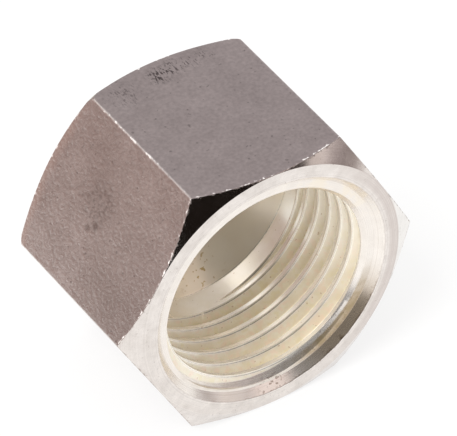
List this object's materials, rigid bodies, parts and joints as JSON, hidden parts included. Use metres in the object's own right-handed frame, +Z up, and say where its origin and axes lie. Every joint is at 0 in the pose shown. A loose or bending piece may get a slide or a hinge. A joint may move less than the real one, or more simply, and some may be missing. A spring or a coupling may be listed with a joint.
{
  "type": "union nut",
  "caption": "Hexagon union nut for a cutting ring tube fitting: threaded mouth, smooth bore, conical seat and a hole for the tube",
  "frame": {"origin": "on the surface the nut lies on, under the middle of its length", "axes": "+Z up, square to the hexagon flat it lies on; the nut's axis runs along Y at half the spanner size above the ground, with the threaded mouth facing -Y and the tube hole at +Y"},
  "size_m": [0.0254, 0.0154, 0.022],
  "materials": {
    "union_nut": "matte outside, bright turned end faces, pale plated thread"
  },
  "bodies": {
    "root": {"union_nut": "union_nut"}
  },
  "joints": []
}
